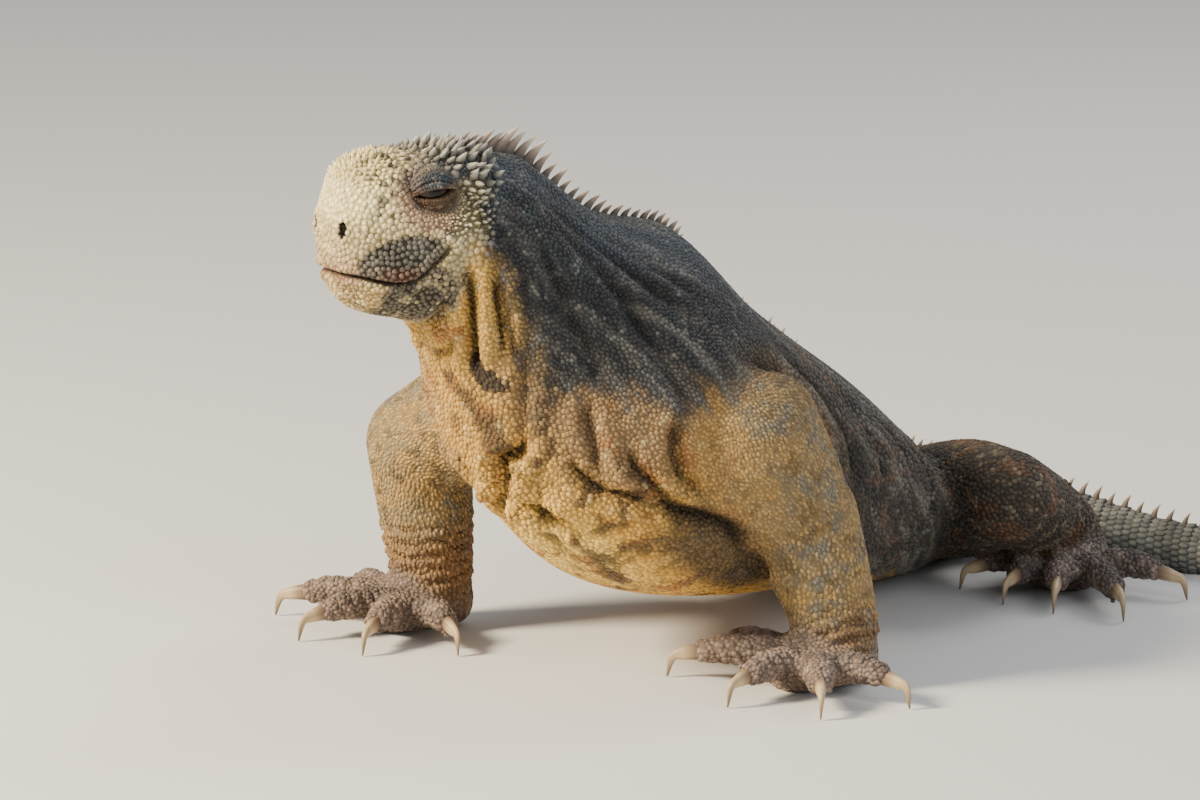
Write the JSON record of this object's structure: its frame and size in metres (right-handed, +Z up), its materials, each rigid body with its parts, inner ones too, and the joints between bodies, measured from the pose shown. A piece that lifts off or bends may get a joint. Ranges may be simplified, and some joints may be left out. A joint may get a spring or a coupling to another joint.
{
  "type": "marine iguana model",
  "caption": "Life-size marine iguana with its chest raised on straight forelegs, head turned to its right, spiny crest, clawed feet and a long flattened tail.",
  "frame": {"origin": "centre of the underside of the bounding box, on the floor the animal rests on", "axes": "+Z up, -Y the way the trunk faces, +X the animal's left, tail towards +Y"},
  "size_m": [0.4419, 0.7099, 0.1928],
  "materials": {
    "head_skin": "matt scaly skin with a pale salt crust",
    "body_skin": "matt scaly skin",
    "limb_skin": "matt scaly skin",
    "eye": "wet and glossy",
    "claw": "satin horn"
  },
  "bodies": {
    "root": {"head": "head_skin", "neck": "body_skin", "torso": "body_skin", "pelvis": "body_skin", "tail_1": "body_skin", "tail_2": "body_skin", "tail_3": "body_skin", "tail_4": "body_skin", "tail_5": "body_skin", "tail_6": "body_skin", "upper_arm_left": "limb_skin", "forearm_left": "limb_skin", "hand_left": "limb_skin", "thigh_left": "limb_skin", "shank_left": "limb_skin", "foot_left": "limb_skin", "upper_arm_right": "limb_skin", "forearm_right": "limb_skin", "hand_right": "limb_skin", "thigh_right": "limb_skin", "shank_right": "limb_skin", "foot_right": "limb_skin", "eye_left": "eye", "eye_right": "eye", "claw_hand_left_1": "claw", "claw_hand_left_2": "claw", "claw_hand_left_3": "claw", "claw_hand_left_4": "claw", "claw_hand_left_5": "claw", "claw_foot_left_1": "claw", "claw_foot_left_2": "claw", "claw_foot_left_3": "claw", "claw_foot_left_4": "claw", "claw_foot_left_5": "claw", "claw_hand_right_1": "claw", "claw_hand_right_2": "claw", "claw_hand_right_3": "claw", "claw_hand_right_4": "claw", "claw_hand_right_5": "claw", "claw_foot_right_1": "claw", "claw_foot_right_2": "claw", "claw_foot_right_3": "claw", "claw_foot_right_4": "claw", "claw_foot_right_5": "claw"}
  },
  "joints": []
}
